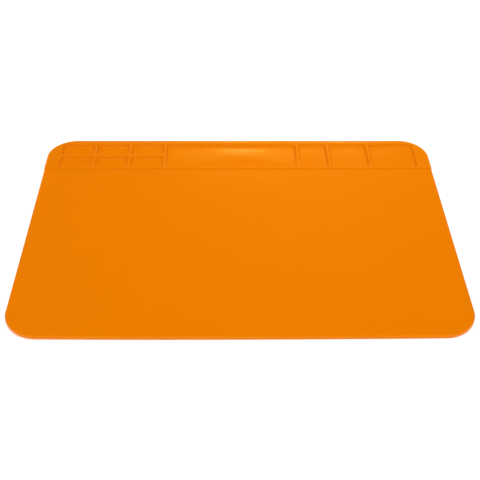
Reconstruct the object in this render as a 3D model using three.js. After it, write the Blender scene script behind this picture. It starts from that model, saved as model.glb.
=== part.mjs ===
// Parts sorting mat: a soft silicone work mat with a strip of shallow sorting bins along its rear
// edge. Millimetres, +Z up, X to the right, Y towards the bins; the origin is the centre of the
// underside.
//
// The real mat is one moulding with no joins. Each mesh below is one region of that moulding, cut
// where its thickness changes, and the regions meet face to face. Every region is a convex prism.

import * as THREE from 'three';

// Whole mat
const WIDTH = 280;
const DEPTH = 200;
const CORNER_RADIUS = 20;

// Heights above the underside
const BIN_FLOOR = 1.4;
const WORK_SURFACE = 2.5;
const DECK = 3.6;

// Walls of the tray strip, measured across their flat tops
const STRIP_DEPTH = 35;
const END_WALL = 10;
const REAR_RIM = 5;
const FRONT_KERB = 2.5;
const DIVIDER = 2.8;
const CROSS_RIB = 3;

// Clear width of each column of bins from the left, and how many bins stand one behind the other
// in it. A divider closes each of these columns, and one more bin takes what is left of the strip.
const COLUMNS = [
  { width: 23, rows: 2 },
  { width: 23, rows: 2 },
  { width: 23, rows: 2 },
  { width: 95, rows: 1 },
  { width: 20, rows: 1 },
  { width: 27, rows: 1 },
];

// A drawn arc gets twice this number of sides
const CURVE_SEGMENTS = 8;

const ORANGE = 0xee7f04;
const ROUGHNESS = 0.6;

// Edges that more than one region meets
const SIDE = WIDTH / 2;
const REAR = DEPTH / 2;
const STRIP_FRONT = REAR - STRIP_DEPTH;
const BINS_LEFT = -SIDE + END_WALL;
const BINS_RIGHT = SIDE - END_WALL;
const BINS_FRONT = STRIP_FRONT + FRONT_KERB;
const BINS_REAR = REAR - REAR_RIM;

// Centres of the round corners, and the angle at which an end wall hands the rear arc to the rim
const ARC_X = SIDE - CORNER_RADIUS;
const ARC_Y = REAR - CORNER_RADIUS;
const HANDOVER = Math.acos((BINS_RIGHT - ARC_X) / CORNER_RADIUS);

const mat = new THREE.Group();

// Adds a region: an outline in the XY plane, raised from one height to another.
function addRegion(name, outline, bottom, top) {
  const geometry = new THREE.ExtrudeGeometry(outline, {
    depth: top - bottom,
    bevelEnabled: false,
    curveSegments: CURVE_SEGMENTS,
  });
  const material = new THREE.MeshStandardMaterial({
    color: ORANGE,
    roughness: ROUGHNESS,
    metalness: 0,
  });
  const mesh = new THREE.Mesh(geometry, material);
  mesh.name = name;
  mesh.position.z = bottom;
  mat.add(mesh);
}

function rectangle(left, right, front, rear) {
  const outline = new THREE.Shape();
  outline.moveTo(left, front);
  outline.lineTo(right, front);
  outline.lineTo(right, rear);
  outline.lineTo(left, rear);
  outline.closePath();
  return outline;
}

// The flat work area, with the two front corners of the mat.
function workPanelOutline() {
  const outline = new THREE.Shape();
  outline.moveTo(-ARC_X, -REAR);
  outline.absarc(ARC_X, -ARC_Y, CORNER_RADIUS, -Math.PI / 2, 0, false);
  outline.lineTo(SIDE, STRIP_FRONT);
  outline.lineTo(-SIDE, STRIP_FRONT);
  outline.absarc(-ARC_X, -ARC_Y, CORNER_RADIUS, Math.PI, Math.PI * 1.5, false);
  return outline;
}

// The thin floor under all the bins, with the two rear corners of the mat.
function trayFloorOutline() {
  const outline = new THREE.Shape();
  outline.moveTo(-SIDE, STRIP_FRONT);
  outline.lineTo(SIDE, STRIP_FRONT);
  outline.absarc(ARC_X, ARC_Y, CORNER_RADIUS, 0, Math.PI / 2, false);
  outline.absarc(-ARC_X, ARC_Y, CORNER_RADIUS, Math.PI / 2, Math.PI, false);
  return outline;
}

// The rim behind the bins, which ends in the last part of each rear corner.
function rearRimOutline() {
  const outline = new THREE.Shape();
  outline.moveTo(BINS_LEFT, BINS_REAR);
  outline.lineTo(BINS_RIGHT, BINS_REAR);
  outline.absarc(ARC_X, ARC_Y, CORNER_RADIUS, HANDOVER, Math.PI / 2, false);
  outline.absarc(-ARC_X, ARC_Y, CORNER_RADIUS, Math.PI / 2, Math.PI - HANDOVER, false);
  return outline;
}

function rightEndOutline() {
  const outline = new THREE.Shape();
  outline.moveTo(BINS_RIGHT, STRIP_FRONT);
  outline.lineTo(SIDE, STRIP_FRONT);
  outline.absarc(ARC_X, ARC_Y, CORNER_RADIUS, 0, HANDOVER, false);
  return outline;
}

function leftEndOutline() {
  const outline = new THREE.Shape();
  outline.moveTo(-SIDE, STRIP_FRONT);
  outline.lineTo(BINS_LEFT, STRIP_FRONT);
  outline.absarc(-ARC_X, ARC_Y, CORNER_RADIUS, Math.PI - HANDOVER, Math.PI, false);
  return outline;
}

// The dividers between the columns, and a cross rib halfway back in each column of two rows.
function addDividersAndCrossRibs() {
  const ribFront = (BINS_FRONT + BINS_REAR - CROSS_RIB) / 2;
  let left = BINS_LEFT;
  let ribs = 0;
  COLUMNS.forEach((column, index) => {
    const right = left + column.width;
    if (column.rows === 2) {
      ribs += 1;
      const rib = rectangle(left, right, ribFront, ribFront + CROSS_RIB);
      addRegion(`cross_rib_${ribs}`, rib, BIN_FLOOR, DECK);
    }
    const divider = rectangle(right, right + DIVIDER, BINS_FRONT, BINS_REAR);
    addRegion(`bin_divider_${index + 1}`, divider, BIN_FLOOR, DECK);
    left = right + DIVIDER;
  });
}

addRegion('work_panel', workPanelOutline(), 0, WORK_SURFACE);
addRegion('tray_floor', trayFloorOutline(), 0, BIN_FLOOR);
addRegion('tray_rear_rim', rearRimOutline(), BIN_FLOOR, DECK);
addRegion(
  'tray_front_kerb',
  rectangle(BINS_LEFT, BINS_RIGHT, STRIP_FRONT, BINS_FRONT),
  BIN_FLOOR,
  DECK,
);
addRegion('tray_left_end', leftEndOutline(), BIN_FLOOR, DECK);
addRegion('tray_right_end', rightEndOutline(), BIN_FLOOR, DECK);
addDividersAndCrossRibs();

export default mat;
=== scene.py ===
"""Parts sorting mat: one soft silicone moulding, drawn as one skin over the CAD regions.

Metres, in the CAD's frame: X runs along the strip of bins, Y towards it and Z up, and the origin is
the centre of the underside. Places and heights come from the CAD. The sizes below are the fine shape
that the CAD leaves out: fillets, soft walls, and the slight unevenness of rubber on a bench.
"""

import math

import bpy
from mathutils import Matrix, Vector, noise
from mathutils.geometry import delaunay_2d_cdt


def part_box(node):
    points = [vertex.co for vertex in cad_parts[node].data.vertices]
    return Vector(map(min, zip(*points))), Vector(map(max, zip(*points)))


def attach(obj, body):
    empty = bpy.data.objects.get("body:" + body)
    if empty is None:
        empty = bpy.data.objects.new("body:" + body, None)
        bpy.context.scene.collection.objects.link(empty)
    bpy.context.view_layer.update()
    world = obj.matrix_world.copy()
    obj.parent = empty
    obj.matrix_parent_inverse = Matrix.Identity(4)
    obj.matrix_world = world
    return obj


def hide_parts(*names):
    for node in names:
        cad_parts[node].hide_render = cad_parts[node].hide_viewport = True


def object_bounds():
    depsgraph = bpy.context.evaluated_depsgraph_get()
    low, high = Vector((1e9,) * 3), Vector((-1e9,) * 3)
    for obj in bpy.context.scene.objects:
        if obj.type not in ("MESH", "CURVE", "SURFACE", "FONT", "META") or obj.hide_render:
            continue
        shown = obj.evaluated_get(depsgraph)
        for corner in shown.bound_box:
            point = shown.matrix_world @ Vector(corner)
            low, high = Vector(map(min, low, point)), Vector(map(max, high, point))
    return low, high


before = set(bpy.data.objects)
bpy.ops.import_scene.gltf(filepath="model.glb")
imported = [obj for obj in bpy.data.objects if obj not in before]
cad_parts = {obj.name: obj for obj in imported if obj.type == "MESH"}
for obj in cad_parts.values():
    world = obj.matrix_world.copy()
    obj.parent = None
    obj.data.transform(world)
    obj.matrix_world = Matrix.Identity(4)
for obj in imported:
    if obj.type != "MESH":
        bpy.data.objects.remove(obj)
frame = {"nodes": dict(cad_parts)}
cad_low, cad_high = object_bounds()

MM = 0.001

# Outline of the mat, the long ellipse that rounds its top edge (its drop, and its width along the
# front and sides and along the rear) and the fillet along its bottom edge. The higher the fade, the
# sooner the rear's extra width is gone round the corners, where the bins come close to the edge
CORNER_RADIUS = 20 * MM
TOP_EDGE_DROP = 0.4 * MM
TOP_EDGE_WIDTH = 1.6 * MM
REAR_EDGE_WIDTH = 3.0 * MM
REAR_EDGE_FADE = 16
BOTTOM_EDGE = 0.25 * MM

# Every inner wall is a soft S from its lip to its foot: how far each reaches out from the wall
STEP_LIP = 0.2 * MM
STEP_FOOT = 0.75 * MM
BIN_LIP = 0.9 * MM
BIN_FOOT = 1.05 * MM
BIN_CORNER = 2.4 * MM

# The thin floors rise towards their middles in a low swelling, which leans to the rear by a share of
# its height. It reaches at most this far to either side, and the trough's stands right of the middle
BULGE = 0.12 * MM
TROUGH_BULGE = 0.42 * MM
BULGE_LEAN = 0.3
BULGE_REACH = 29 * MM
BULGE_SHIFT = 7 * MM

# The long trough's floor also falls from the front to the rear. The slope fades out beside the front
# wall and the end walls, and a higher power keeps that closer to the wall
TROUGH_FALL = 0.28 * MM
FRONT_FADE = 8
END_FADE = 16

# The top face's unevenness
RIPPLE_HEIGHT = 0.05 * MM
RIPPLE_LENGTH = 70 * MM

# How far the front corners, left and right, curl up off the bench, how far the curl reaches into the
# mat, and the share of the lift by which it pulls the corner inwards
CORNER_CURL = (0.95 * MM, 0.45 * MM)
CURL_REACH = 115 * MM
CURL_PULL = 0.25

# How far the middle of the front edge stands ahead of its ends
FRONT_BOW = 0.4 * MM

# Mesh steps
EDGE_STEP = 4 * MM
BIN_STEP = 1.2 * MM
FILL_STEP = 5 * MM
CORNER_STEPS = 24
BIN_CORNER_STEPS = 6
LIP_STEPS = 8
FILLET_STEPS = 4
WALL_STEPS = 10

# Points closer than this are one point, to the triangulation and to the search for the step's ends
MERGE_DISTANCE = 1e-9
SAME_PLACE = 1e-7


# ---- Layout, read from the CAD ----


def read_bins():
    """Each bin between its walls as (left, right, front, rear), from the CAD's walls."""
    nodes = frame["nodes"]
    dividers = sorted(
        (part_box(name) for name in nodes if name.startswith("bin_divider")),
        key=lambda box: box[0].x,
    )
    ribs = [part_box(name) for name in nodes if name.startswith("cross_rib")]
    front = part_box("tray_front_kerb")[1].y
    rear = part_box("tray_rear_rim")[0].y
    lefts = [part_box("tray_left_end")[1].x] + [high.x for low, high in dividers]
    rights = [low.x for low, high in dividers] + [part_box("tray_right_end")[0].x]
    bins = []
    for left, right in zip(lefts, rights):
        rib = next((r for r in ribs if left < (r[0].x + r[1].x) / 2 < right), None)
        if rib:
            bins.append((left, right, front, rib[0].y))
            bins.append((left, right, rib[1].y, rear))
        else:
            bins.append((left, right, front, rear))
    return bins


BINS = read_bins()
DECK = cad_high.z
WORK_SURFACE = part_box("work_panel")[1].z
BIN_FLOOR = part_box("tray_floor")[1].z
STRIP_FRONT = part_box("tray_floor")[0].y


# ---- Outlines and profiles ----


def spread(start, end, step, through=()):
    """Numbers from start up to but not including end, about a step apart, by way of others."""
    knots = [start, *through, end]
    numbers = []
    for a, b in zip(knots, knots[1:]):
        count = max(1, round(abs(b - a) / step))
        numbers += [a + (b - a) * k / count for k in range(count)]
    return numbers


def rounded_rectangle(box, radius, corner_steps, step, side_knots=()):
    """Counter-clockwise points as (x, y, outward x, outward y). side_knots are the values of y where
    a point must stand, on both the left and the right side."""
    left, right, low, high = box
    points = []

    def corner(x, y, first_angle):
        for k in range(corner_steps):
            angle = first_angle + math.pi / 2 * k / corner_steps
            c, s = math.cos(angle), math.sin(angle)
            points.append((x + radius * c, y + radius * s, c, s))

    for y in spread(low + radius, high - radius, step, side_knots):
        points.append((right, y, 1, 0))
    corner(right - radius, high - radius, 0)
    for x in spread(right - radius, left + radius, step):
        points.append((x, high, 0, 1))
    corner(left + radius, high - radius, math.pi / 2)
    for y in spread(high - radius, low + radius, step, side_knots[::-1]):
        points.append((left, y, -1, 0))
    corner(left + radius, low + radius, math.pi)
    for x in spread(left + radius, right - radius, step):
        points.append((x, low, 0, -1))
    corner(right - radius, low + radius, math.pi * 1.5)
    return points


def quarter(steps):
    """Sine and cosine from 0 to 90 degrees."""
    angles = [math.pi / 2 * k / steps for k in range(steps + 1)]
    return [(math.sin(a), math.cos(a)) for a in angles]


def wall_profile(lip, foot, top, bottom):
    """A wall from its lip down to its foot, as (distance out from the CAD's wall, z)."""
    shares = [k / WALL_STEPS for k in range(WALL_STEPS + 1)]
    return [
        ((lip + foot) * t - lip, top - (top - bottom) * (1 - math.cos(math.pi * t)) / 2)
        for t in shares
    ]


# The step seen from the side, from the work surface up: y and z
STEP = [
    (STRIP_FRONT - out, z)
    for out, z in reversed(wall_profile(STEP_LIP, STEP_FOOT, DECK, WORK_SURFACE))
]


def top_height(y):
    """Height of the mat's top face, without the bins."""
    if y <= STEP[0][0]:
        return WORK_SURFACE
    for (y0, z0), (y1, z1) in zip(STEP, STEP[1:]):
        if y <= y1:
            return z0 + (z1 - z0) * (y - y0) / (y1 - y0)
    return DECK


# ---- Skin ----


class Skin:
    """The moulding's vertices and faces as they are made."""

    def __init__(self):
        self.points = []
        self.polish = []
        self.faces = []

    def add(self, x, y, z, polish=0.0):
        self.points.append((x, y, z))
        self.polish.append(polish)
        return len(self.points) - 1

    def bridge(self, outer, inner, closed=True):
        """Quads between two rows of equal length, facing up where outer lies outside inner."""
        count = len(outer)
        for i in range(count if closed else count - 1):
            j = (i + 1) % count
            self.faces.append((outer[i], outer[j], inner[j], inner[i]))

    def fill(self, loops, inner, face_up=True):
        """Triangles over what lies inside the first loop and outside the others."""
        indices = [i for loop in loops for i in loop] + inner
        flat = [Vector(self.points[i][:2]) for i in indices]
        edges = []
        start = 0
        for loop in loops:
            count = len(loop)
            edges += [(start + k, start + (k + 1) % count) for k in range(count)]
            start += count
        made, _, triangles, origins, _, _ = delaunay_2d_cdt(
            flat, edges, [], 0, MERGE_DISTANCE
        )
        borders = [[flat[a], flat[b]] for a, b in edges]
        for triangle in triangles:
            corners = [made[k] for k in triangle]
            if not inside(sum(corners, Vector((0, 0))) / 3, borders):
                continue
            face = [indices[origins[k][0]] for k in triangle]
            (ax, ay), (bx, by), (cx, cy) = corners
            faces_up = (bx - ax) * (cy - ay) > (cx - ax) * (by - ay)
            self.faces.append(tuple(face if faces_up == face_up else face[::-1]))


def inside(point, borders):
    """Whether a point is inside closed borders, by counting the crossings to its right."""
    crossings = 0
    for a, b in borders:
        if (a.y > point.y) != (b.y > point.y):
            if a.x + (point.y - a.y) * (b.x - a.x) / (b.y - a.y) > point.x:
                crossings += 1
    return crossings % 2 == 1


def grid(left, right, front, rear, step):
    """Points inside a rectangle, half a step clear of its sides."""
    columns = max(1, round((right - left) / step))
    rows = max(1, round((rear - front) / step))
    return [
        (left + (right - left) * (i + 0.5) / columns, front + (rear - front) * (j + 0.5) / rows)
        for i in range(columns)
        for j in range(rows)
    ]


def in_rounded(x, y, box, radius):
    """Whether a point lies inside a rounded rectangle."""
    left, right, low, high = box
    dx = max(left + radius - x, x - (right - radius), 0)
    dy = max(low + radius - y, y - (high - radius), 0)
    return math.hypot(dx, dy) < radius


def top_edge_width(outward_y):
    """Width of the top edge's rounding on a side that faces this way: widest along the rear."""
    wider = REAR_EDGE_WIDTH - TOP_EDGE_WIDTH
    return TOP_EDGE_WIDTH + wider * max(0, outward_y) ** REAR_EDGE_FADE


def add_rim(skin, outline):
    """The outer wall with its fillets. Returns the loops at its top face and at its underside."""
    loops = []
    for s, c in quarter(LIP_STEPS):
        loop = []
        for x, y, nx, ny in outline:
            inset = top_edge_width(ny) * (1 - s)
            z = top_height(y) - TOP_EDGE_DROP * (1 - c)
            loop.append(skin.add(x - nx * inset, y - ny * inset, z))
        loops.append(loop)
    for s, c in quarter(FILLET_STEPS):
        inset = BOTTOM_EDGE * (1 - c)
        z = BOTTOM_EDGE * (1 - s)
        loops.append([skin.add(x - nx * inset, y - ny * inset, z) for x, y, nx, ny in outline])
    for upper, lower in zip(loops, loops[1:]):
        skin.bridge(lower, upper)
    return loops[0], loops[-1]


def floor_height(x, y, box):
    """Height of a bin's floor, with its swelling and, in the long trough, its slope."""
    left, right, front, rear = box
    half = (right - left) / 2
    middle = (left + right) / 2
    forward = (rear - y) / (rear - front)
    height = BULGE
    slope = 0
    if half > BULGE_REACH:
        outward = abs(x - middle) / half
        slope = TROUGH_FALL * forward * (1 - forward ** FRONT_FADE) * (1 - outward ** END_FADE)
        half = BULGE_REACH
        middle += BULGE_SHIFT
        height = TROUGH_BULGE
    u = min(1, abs(x - middle) / half)
    v = 1 - 2 * forward
    return BIN_FLOOR + slope + height * (1 - u * u) ** 2 * (1 - v * v) * (1 + BULGE_LEAN * v)


def add_bin(skin, box):
    """One bin: lip, wall, foot and floor. Returns the loop where its lip meets the deck."""
    outline = rounded_rectangle(box, BIN_CORNER, BIN_CORNER_STEPS, BIN_STEP)
    profile = wall_profile(BIN_LIP, BIN_FOOT, DECK, BIN_FLOOR)
    loops = []
    for inset, z in profile:
        polish = (DECK - z) / (DECK - BIN_FLOOR)
        loops.append(
            [skin.add(x - nx * inset, y - ny * inset, z, polish) for x, y, nx, ny in outline]
        )
    for outer, inner in zip(loops, loops[1:]):
        skin.bridge(outer, inner)
    foot = profile[-1][0]
    left, right, front, rear = box
    floor = (left + foot, right - foot, front + foot, rear - foot)
    floor_points = [
        skin.add(x, y, floor_height(x, y, floor), 1.0)
        for x, y in grid(*floor, BIN_STEP)
        if in_rounded(x, y, floor, BIN_CORNER - foot)
    ]
    skin.fill([loops[-1]], floor_points)
    return loops[0]


def add_step(skin, top_loop):
    """The face of the step, from side to side. Returns its lowest and highest rows."""
    ends = {}
    for i in top_loop:
        x, y, _ = skin.points[i]
        ends[(x > 0, round(y / SAME_PLACE))] = i
    rows = []
    for y, z in STEP:
        first = ends[(False, round(y / SAME_PLACE))]
        last = ends[(True, round(y / SAME_PLACE))]
        xs = spread(skin.points[first][0], skin.points[last][0], EDGE_STEP)[1:]
        rows.append([first] + [skin.add(x, y, z) for x in xs] + [last])
    for lower, upper in zip(rows, rows[1:]):
        skin.bridge(lower, upper, closed=False)
    return rows[0], rows[-1]


def add_top(skin, top_loop, bin_loops):
    """The deck round the bins and the work surface, on either side of the step."""
    low_row, high_row = add_step(skin, top_loop)
    start = top_loop.index(high_row[-1])
    ahead = top_loop[start:] + top_loop[:start]
    deck = ahead[: ahead.index(high_row[0]) + 1] + high_row[1:-1]
    skin.fill([deck] + bin_loops, [])
    start = top_loop.index(low_row[0])
    ahead = top_loop[start:] + top_loop[:start]
    work = ahead[: ahead.index(low_row[-1]) + 1] + low_row[1:-1][::-1]
    margin = EDGE_STEP / 2
    box = (cad_low.x + margin, cad_high.x - margin, cad_low.y + margin, cad_high.y)
    step_front = STEP[0][0]
    inner = [
        skin.add(x, y, WORK_SURFACE)
        for x, y in grid(cad_low.x, cad_high.x, cad_low.y, step_front, FILL_STEP)
        if in_rounded(x, y, box, CORNER_RADIUS)
    ]
    skin.fill([work], inner)


def add_unevenness(skin):
    """Lets the top face wander up and down by a hair, as rubber does, curls the front corners up and
    bows the front edge forward."""
    for i, (x, y, z) in enumerate(skin.points):
        share = min(1, z / BIN_FLOOR)
        wave = noise.noise(Vector((x, y, 0)) / RIPPLE_LENGTH)
        curl = CORNER_CURL[0] if x < 0 else CORNER_CURL[1]
        reach = math.hypot(cad_high.x - abs(x), y - cad_low.y) / CURL_REACH
        lift = curl * max(0, 1 - reach) ** 2
        bow = FRONT_BOW * (1 - (x / cad_high.x) ** 2) * max(0, y / cad_low.y)
        pull = CURL_PULL * lift
        skin.points[i] = (
            x - math.copysign(pull, x),
            y - bow + pull,
            z + RIPPLE_HEIGHT * wave * share + lift,
        )


def make_skin():
    """The whole moulding as one closed mesh object."""
    skin = Skin()
    box = (cad_low.x, cad_high.x, cad_low.y, cad_high.y)
    knots = tuple(y for y, z in STEP)
    outline = rounded_rectangle(box, CORNER_RADIUS, CORNER_STEPS, EDGE_STEP, knots)
    top_loop, bottom_loop = add_rim(skin, outline)
    bin_loops = [add_bin(skin, b) for b in BINS]
    add_top(skin, top_loop, bin_loops)
    skin.fill([bottom_loop], [], face_up=False)
    add_unevenness(skin)

    mesh = bpy.data.meshes.new("silicone_mat")
    mesh.from_pydata(skin.points, [], skin.faces)
    mesh.attributes.new("polish", "FLOAT", "POINT").data.foreach_set("value", skin.polish)
    mesh.shade_smooth()
    mat = bpy.data.objects.new("silicone_mat", mesh)
    bpy.context.collection.objects.link(mat)
    mat.modifiers.new("even_shading", "WEIGHTED_NORMAL").weight = 100
    return mat


# ---- Materials ----


class Nodes:
    """The node tree of a material or world, with short ways to add and join nodes."""

    def __init__(self, owner):
        owner.use_nodes = True
        self.tree = owner.node_tree

    def add(self, kind, **settings):
        node = self.tree.nodes.new(kind)
        for key, value in settings.items():
            setattr(node, key, value)
        return node

    def join(self, source, target):
        """Feeds a socket from another node's output, or sets it to a number."""
        if isinstance(source, (int, float)):
            target.default_value = source
        else:
            self.tree.links.new(source, target)

    def noise(self, place, scale, detail=2.0, roughness=0.5):
        """Noise over a place. Returns its grey output, from 0 to 1."""
        node = self.add("ShaderNodeTexNoise")
        node.inputs["Scale"].default_value = scale
        node.inputs["Detail"].default_value = detail
        node.inputs["Roughness"].default_value = roughness
        self.join(place, node.inputs["Vector"])
        return node.outputs["Fac"]

    def ranged(self, value, low, high, from_low=0.0, from_high=1.0):
        """Maps a value from one range to another, whose ends may be outputs too."""
        node = self.add("ShaderNodeMapRange")
        self.join(value, node.inputs["Value"])
        self.join(from_low, node.inputs["From Min"])
        self.join(from_high, node.inputs["From Max"])
        self.join(low, node.inputs["To Min"])
        self.join(high, node.inputs["To Max"])
        return node.outputs["Result"]

    def maths(self, operation, a, b):
        """a and b joined by an operation."""
        node = self.add("ShaderNodeMath", operation=operation)
        self.join(a, node.inputs[0])
        self.join(b, node.inputs[1])
        return node.outputs[0]


# Satin orange silicone with warm reflections, a little smoother in the bins than elsewhere
ORANGE = (0.79, 0.195, 0.0)
SATIN_ROUGHNESS = 0.165
POLISHED_ROUGHNESS = 0.155
SILICONE_IOR = 1.41
REFLECTION_TINT = (1.0, 0.9, 0.08, 1)

# Noise that gives the surface its variation: scales in cells per metre, and how strongly each shows
CLOUD_SCALE = 45
GRAIN_SCALE = 2600
PIT_SCALE = 700
COLOUR_SPREAD = 0.012
ROUGHNESS_SPREAD = 0.02
PIT_SHARE = 0.6
GRAIN_STRENGTH = 0.75
GRAIN_DEPTH = 0.03 * MM

# White bench paper on a faintly glowing table
PAPER_WHITE = (0.97, 0.97, 0.97, 1)
PAPER_ROUGHNESS = 0.9
PAPER_GLOW = 0.2


def make_silicone():
    """Orange silicone with fine mould grain and pits, and a faint cloudiness."""
    material = bpy.data.materials.new("silicone")
    nodes = Nodes(material)
    shader = nodes.tree.nodes["Principled BSDF"]
    place = nodes.add("ShaderNodeTexCoord").outputs["Object"]

    cloud = nodes.noise(place, CLOUD_SCALE, detail=3)
    grain = nodes.noise(place, GRAIN_SCALE, detail=2, roughness=0.6)
    pits = nodes.noise(place, PIT_SCALE, detail=1)

    clouded = nodes.ranged(cloud, -COLOUR_SPREAD, COLOUR_SPREAD)
    grained = nodes.ranged(grain, 1 - COLOUR_SPREAD, 1 + COLOUR_SPREAD)
    colour = nodes.add("ShaderNodeVectorMath", operation="SCALE")
    colour.inputs[0].default_value = ORANGE
    nodes.join(nodes.maths("ADD", clouded, grained), colour.inputs["Scale"])
    nodes.join(colour.outputs[0], shader.inputs["Base Color"])

    polish = nodes.add("ShaderNodeAttribute", attribute_name="polish").outputs["Fac"]
    finish = nodes.ranged(polish, SATIN_ROUGHNESS, POLISHED_ROUGHNESS)
    smears = nodes.ranged(cloud, -ROUGHNESS_SPREAD, ROUGHNESS_SPREAD)
    nodes.join(nodes.maths("ADD", finish, smears), shader.inputs["Roughness"])

    bump = nodes.add("ShaderNodeBump")
    bump.inputs["Strength"].default_value = GRAIN_STRENGTH
    bump.inputs["Distance"].default_value = GRAIN_DEPTH
    height = nodes.maths("ADD", grain, nodes.maths("MULTIPLY", pits, PIT_SHARE))
    nodes.join(height, bump.inputs["Height"])
    nodes.join(bump.outputs["Normal"], shader.inputs["Normal"])

    shader.inputs["IOR"].default_value = SILICONE_IOR
    shader.inputs["Specular Tint"].default_value = REFLECTION_TINT
    return material


def make_paper():
    """The floor's matt white paper."""
    material = bpy.data.materials.new("white_floor")
    shader = Nodes(material).tree.nodes["Principled BSDF"]
    shader.inputs["Base Color"].default_value = PAPER_WHITE
    shader.inputs["Roughness"].default_value = PAPER_ROUGHNESS
    shader.inputs["Specular IOR Level"].default_value = 0.0
    shader.inputs["Emission Color"].default_value = (1.0, 1.0, 1.0, 1)
    shader.inputs["Emission Strength"].default_value = PAPER_GLOW
    return material


# ---- Stage ----

# The camera stands in front of the mat and looks down on it
CAMERA_PLACE = (-6.5 * MM, -445.5 * MM, 371.6 * MM)
CAMERA_TURN = math.radians(-0.907)
CAMERA_TILT = math.radians(40.548)
CAMERA_ROLL = math.radians(0.482)
SENSOR = 36.0
LENS = 65.08

# The floor lies just below the underside
FLOOR_SIZE = 12.0
FLOOR_GAP = 0.02 * MM

# A broad key light, tilted towards the camera's side, and a weaker one from each side
KEY_STRENGTH = 1.79
KEY_TILT = math.radians(23)
KEY_SOFTNESS = math.radians(80)
SIDE_STRENGTH = 0.36
SIDE_TILT = math.radians(50)
SIDE_SOFTNESS = math.radians(60)

# The white room lights everything evenly, but reflections pick up little of it: most from low down and
# least from high up. The two bounds are the upward part of a direction
SKY_STRENGTH = 0.35
SKY_REFLECTED = 0.01
HORIZON_REFLECTED = 0.05
HORIZON_TOP = 0.05
SKY_BOTTOM = 0.4

# A small lamp close over the right-hand bins, which adds light there but no glare
POOL_PLACE = (0.05, 0.075, 0.19)
POOL_POWER = 0.055
POOL_SIZE = 0.1

# Warm lamps a metre from the bins, seen as glare: three behind them in the trough's floor, one along
# the rear rim, and a card to either side on the lips of the ribs. Each has a name, power, azimuth to
# the right, elevation, width and height, and how much blue there is in its light
LAMPS = (
    ("wide_panel", 0.29, 4.0, 29.5, (0.62, 0.11), 0.10),
    ("panel", 0.11, 0.8, 29.5, (0.18, 0.08), 0.24),
    ("lamp", 0.075, 1.0, 24.5, (0.06, 0.03), 0.5),
    ("rim_lamp", 0.2, 12.5, 25.0, (0.18, 0.09), 0.65),
    ("left_card", 0.5, -30.0, 20.0, (0.3, 0.25), 0.1),
    ("right_card", 0.5, 30.0, 20.0, (0.3, 0.25), 0.1),
)
LAMP_GREEN = 0.85
LAMP_DISTANCE = 1.0
LAMP_TARGET = (0, 0.08, 0)


def make_camera():
    data = bpy.data.cameras.new("camera")
    data.sensor_width = SENSOR
    data.lens = LENS
    data.clip_start = 0.01
    data.clip_end = 100
    camera = bpy.data.objects.new("camera", data)
    bpy.context.collection.objects.link(camera)
    camera.matrix_world = (
        Matrix.Translation(CAMERA_PLACE)
        @ Matrix.Rotation(CAMERA_TURN, 4, "Z")
        @ Matrix.Rotation(math.pi / 2 - CAMERA_TILT, 4, "X")
        @ Matrix.Rotation(CAMERA_ROLL, 4, "Z")
    )
    bpy.context.scene.camera = camera


def make_floor():
    mesh = bpy.data.meshes.new("floor")
    half = FLOOR_SIZE / 2
    corners = [(-half, -half, 0), (half, -half, 0), (half, half, 0), (-half, half, 0)]
    mesh.from_pydata(corners, [], [(0, 1, 2, 3)])
    mesh.materials.append(make_paper())
    floor = bpy.data.objects.new("floor", mesh)
    bpy.context.collection.objects.link(floor)
    floor.location.z = -FLOOR_GAP


def add_light(name, kind, energy, place, target):
    """A light at a place, facing a target. A sun shines the same way from any place."""
    data = bpy.data.lights.new(name, kind)
    data.energy = energy
    light = bpy.data.objects.new(name, data)
    bpy.context.collection.objects.link(light)
    light.location = place
    light.rotation_euler = (Vector(target) - Vector(place)).to_track_quat("-Z", "Y").to_euler()
    light.visible_camera = False
    return light


def add_sun(name, strength, softness, towards):
    light = add_light(name, "SUN", strength, towards, (0, 0, 0))
    light.data.angle = softness


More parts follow.
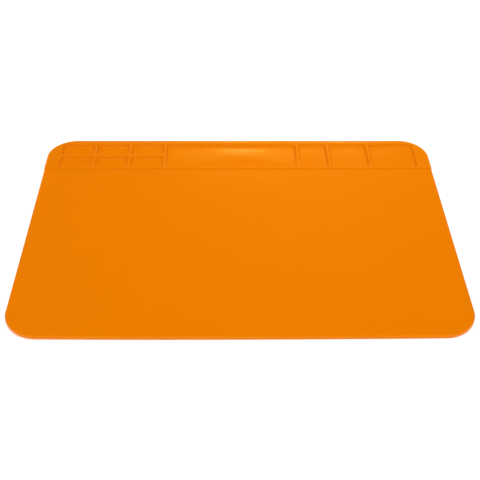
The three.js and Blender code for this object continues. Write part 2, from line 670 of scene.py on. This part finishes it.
def add_lamp(name, power, azimuth, elevation, size, blue):
    """One of the warm lamps round the bins."""
    across, up = math.radians(azimuth), math.radians(elevation)
    reach = LAMP_DISTANCE * math.cos(up)
    place = (
        LAMP_TARGET[0] + reach * math.sin(across),
        LAMP_TARGET[1] + reach * math.cos(across),
        LAMP_DISTANCE * math.sin(up),
    )
    light = add_light(name, "AREA", power, place, LAMP_TARGET)
    light.data.shape = "ELLIPSE"
    light.data.size, light.data.size_y = size
    light.data.color = (1.0, LAMP_GREEN, blue)


def make_lights():
    add_sun("key", KEY_STRENGTH, KEY_SOFTNESS, (0, -math.tan(KEY_TILT), 1))
    for side in (-1, 1):
        add_sun("side_key", SIDE_STRENGTH, SIDE_SOFTNESS, (side * math.tan(SIDE_TILT), 0, 1))
    for lamp in LAMPS:
        add_lamp(*lamp)
    pool = add_light("pool", "AREA", POOL_POWER, POOL_PLACE, (POOL_PLACE[0], POOL_PLACE[1], 0))
    pool.data.size = POOL_SIZE
    pool.visible_glossy = False


def make_world():
    """A white room: pure white to the camera, soft light on surfaces, and dim in reflections."""
    world = bpy.data.worlds.new("world")
    bpy.context.scene.world = world
    nodes = Nodes(world)
    rays = nodes.add("ShaderNodeLightPath")
    direction = nodes.add("ShaderNodeTexCoord").outputs["Generated"]
    split = nodes.add("ShaderNodeSeparateXYZ")
    nodes.join(direction, split.inputs[0])
    reflected = nodes.ranged(
        split.outputs["Z"], HORIZON_REFLECTED, SKY_REFLECTED, HORIZON_TOP, SKY_BOTTOM
    )
    light = nodes.ranged(rays.outputs["Is Glossy Ray"], SKY_STRENGTH, reflected)
    seen = nodes.ranged(rays.outputs["Is Camera Ray"], light, 1.0)
    background = nodes.tree.nodes["Background"]
    nodes.join(seen, background.inputs["Strength"])
    background.inputs["Color"].default_value = (1, 1, 1, 1)


scene = bpy.context.scene
scene.view_settings.view_transform = "Standard"
scene.view_settings.look = "None"

make_camera()
make_floor()
make_lights()
make_world()

silicone_mat = make_skin()
silicone_mat.data.materials.append(make_silicone())
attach(silicone_mat, "root")
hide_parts(*frame["nodes"])
